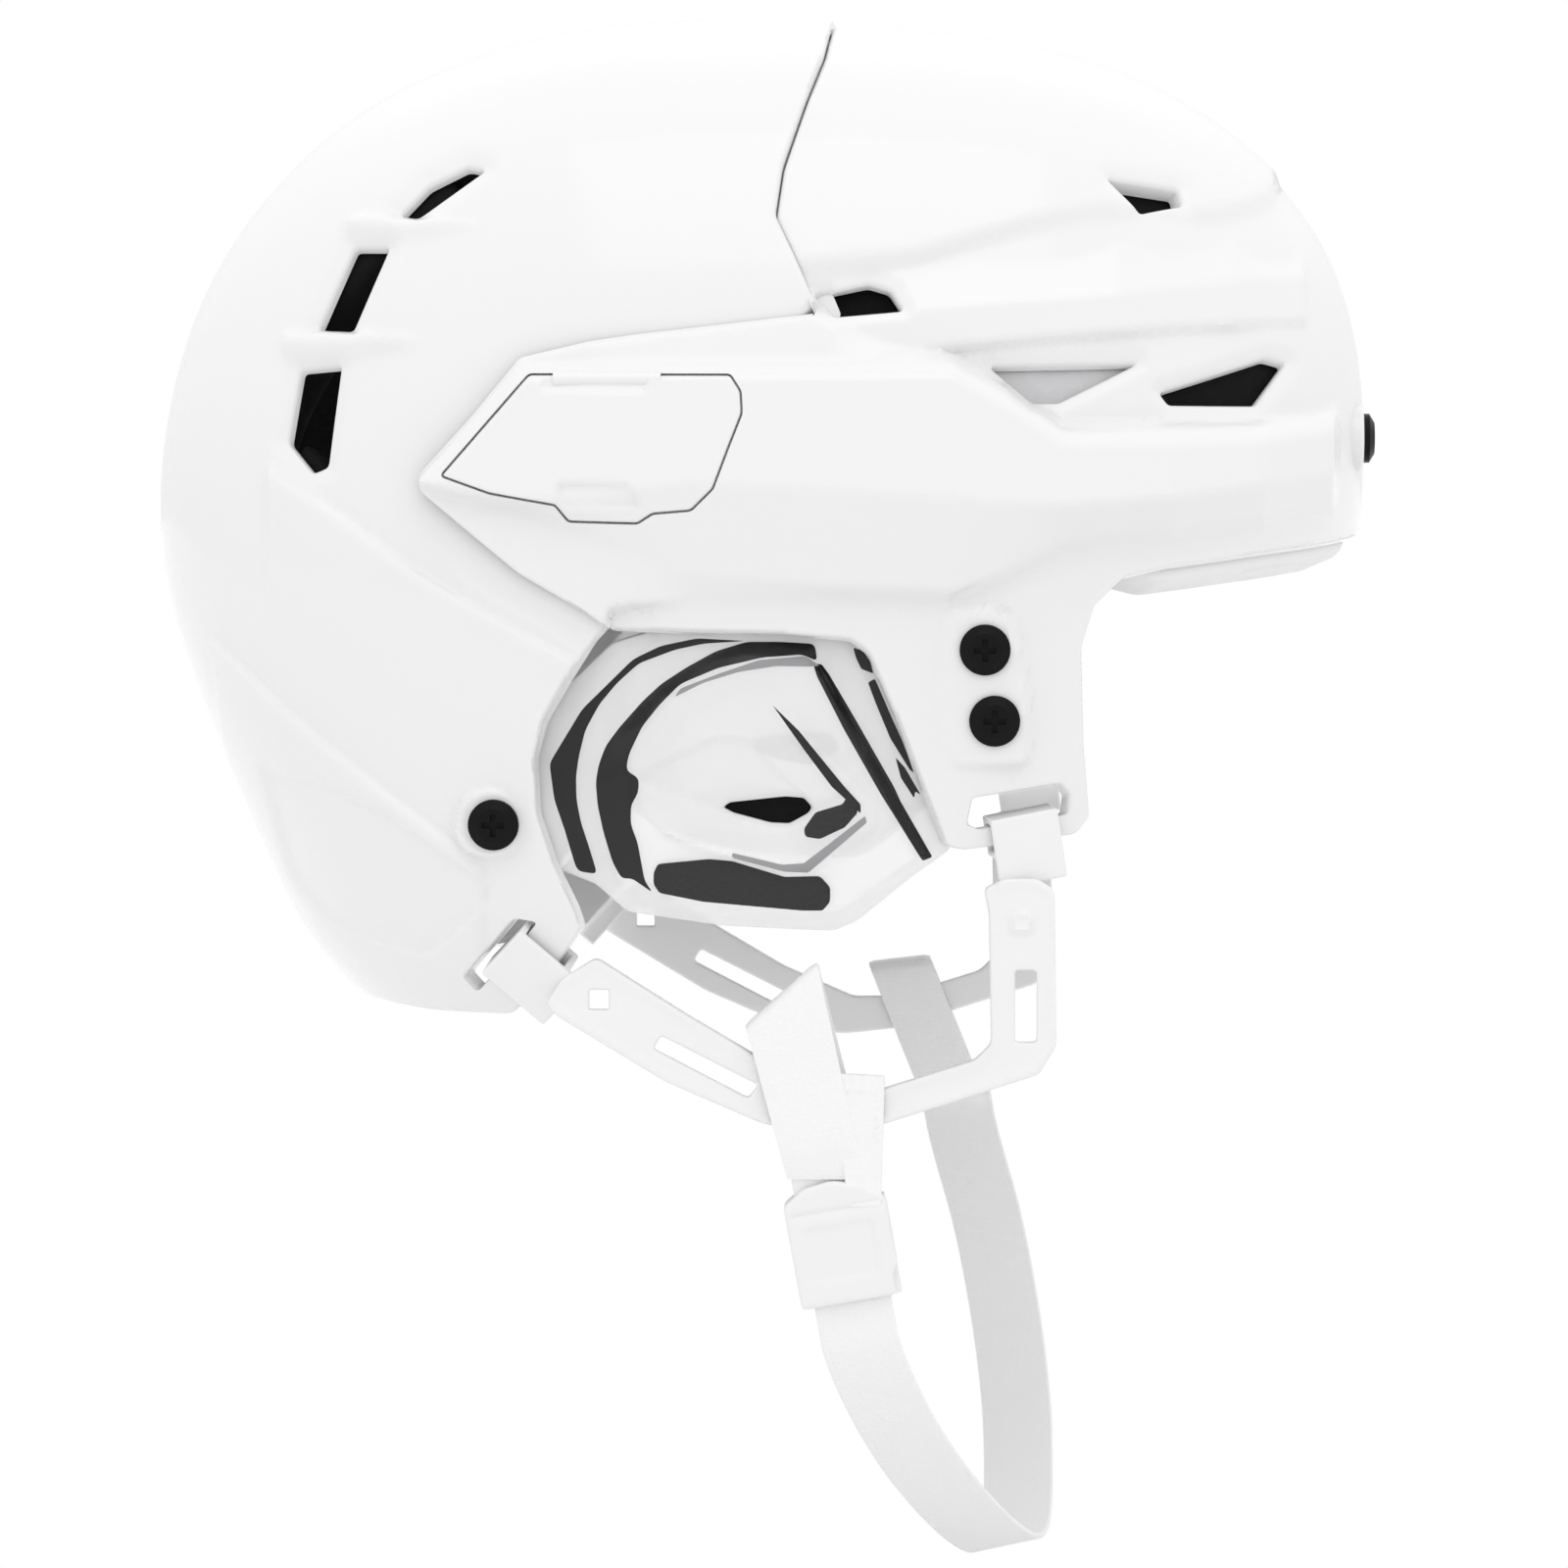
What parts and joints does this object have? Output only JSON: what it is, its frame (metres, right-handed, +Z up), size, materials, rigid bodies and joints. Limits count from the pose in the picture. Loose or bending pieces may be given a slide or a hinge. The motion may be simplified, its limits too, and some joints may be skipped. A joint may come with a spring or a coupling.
{
  "type": "ice hockey helmet",
  "caption": "Two-shell ice hockey helmet with slide-out rear shell, size levers, clear ear guards and a looped chin strap.",
  "frame": {"origin": "on the symmetry plane, on the line through the middles of the two ear openings", "axes": "+X forward, +Y towards the wearer's left, +Z up towards the crown"},
  "size_m": [0.2852, 0.2066, 0.369],
  "materials": {
    "shell_white": "gloss",
    "clear_guard": "clear gloss",
    "loop_white": "satin",
    "screw_black": "satin",
    "steel": "plain",
    "webbing_white": "woven",
    "foam_black": "matt foam"
  },
  "bodies": {
    "front": {"front_shell": "shell_white", "brow_pad": "foam_black", "crown_pad": "foam_black", "right_temple_pad": "foam_black", "left_temple_pad": "foam_black", "right_ear_guard": "clear_guard", "left_ear_guard": "clear_guard", "right_ear_loop": "loop_white", "left_ear_loop": "loop_white", "temple_screws": "screw_black", "temple_nuts": "steel", "brow_screws": "screw_black", "brow_nuts": "steel", "lever_pins": "steel"},
    "rear": {"rear_shell": "shell_white", "rear_crown_pad": "foam_black", "occipital_pad": "foam_black", "right_rear_pad": "foam_black", "left_rear_pad": "foam_black", "nape_screws": "screw_black", "nape_nuts": "steel"},
    "right_lever": {"right_lever": "shell_white"},
    "left_lever": {"left_lever": "shell_white"},
    "chin_strap": {"chin_strap": "webbing_white"},
    "adjuster": {"strap_adjuster": "loop_white"}
  },
  "joints": [
    {"name": "size_slide", "type": "slide", "parent": "front", "child": "rear", "axis": [-1, 0, 0], "range_m": [0, 0.012], "deforming": ["right_ear_loop", "left_ear_loop"]},
    {"name": "right_lever_hinge", "type": "hinge", "parent": "front", "child": "right_lever", "pos_m": [-0.024, -0.09416, 0.10488], "axis": [-0.9982, 0.0594, 0], "range_deg": [0, 80]},
    {"name": "left_lever_hinge", "type": "hinge", "parent": "front", "child": "left_lever", "pos_m": [-0.024, 0.09416, 0.10488], "axis": [0.9982, 0.0594, 0], "range_deg": [0, 80]},
    {"name": "chin_swing", "type": "hinge", "parent": "front", "child": "chin_strap", "pos_m": [0.033, 0, -0.06], "axis": [0, 1, 0], "range_deg": [-5, 10]},
    {"name": "adjuster_slide", "type": "slide", "parent": "chin_strap", "child": "adjuster", "axis": [0.1756, 0.0422, -0.9836], "range_m": [0, 0.007]}
  ]
}
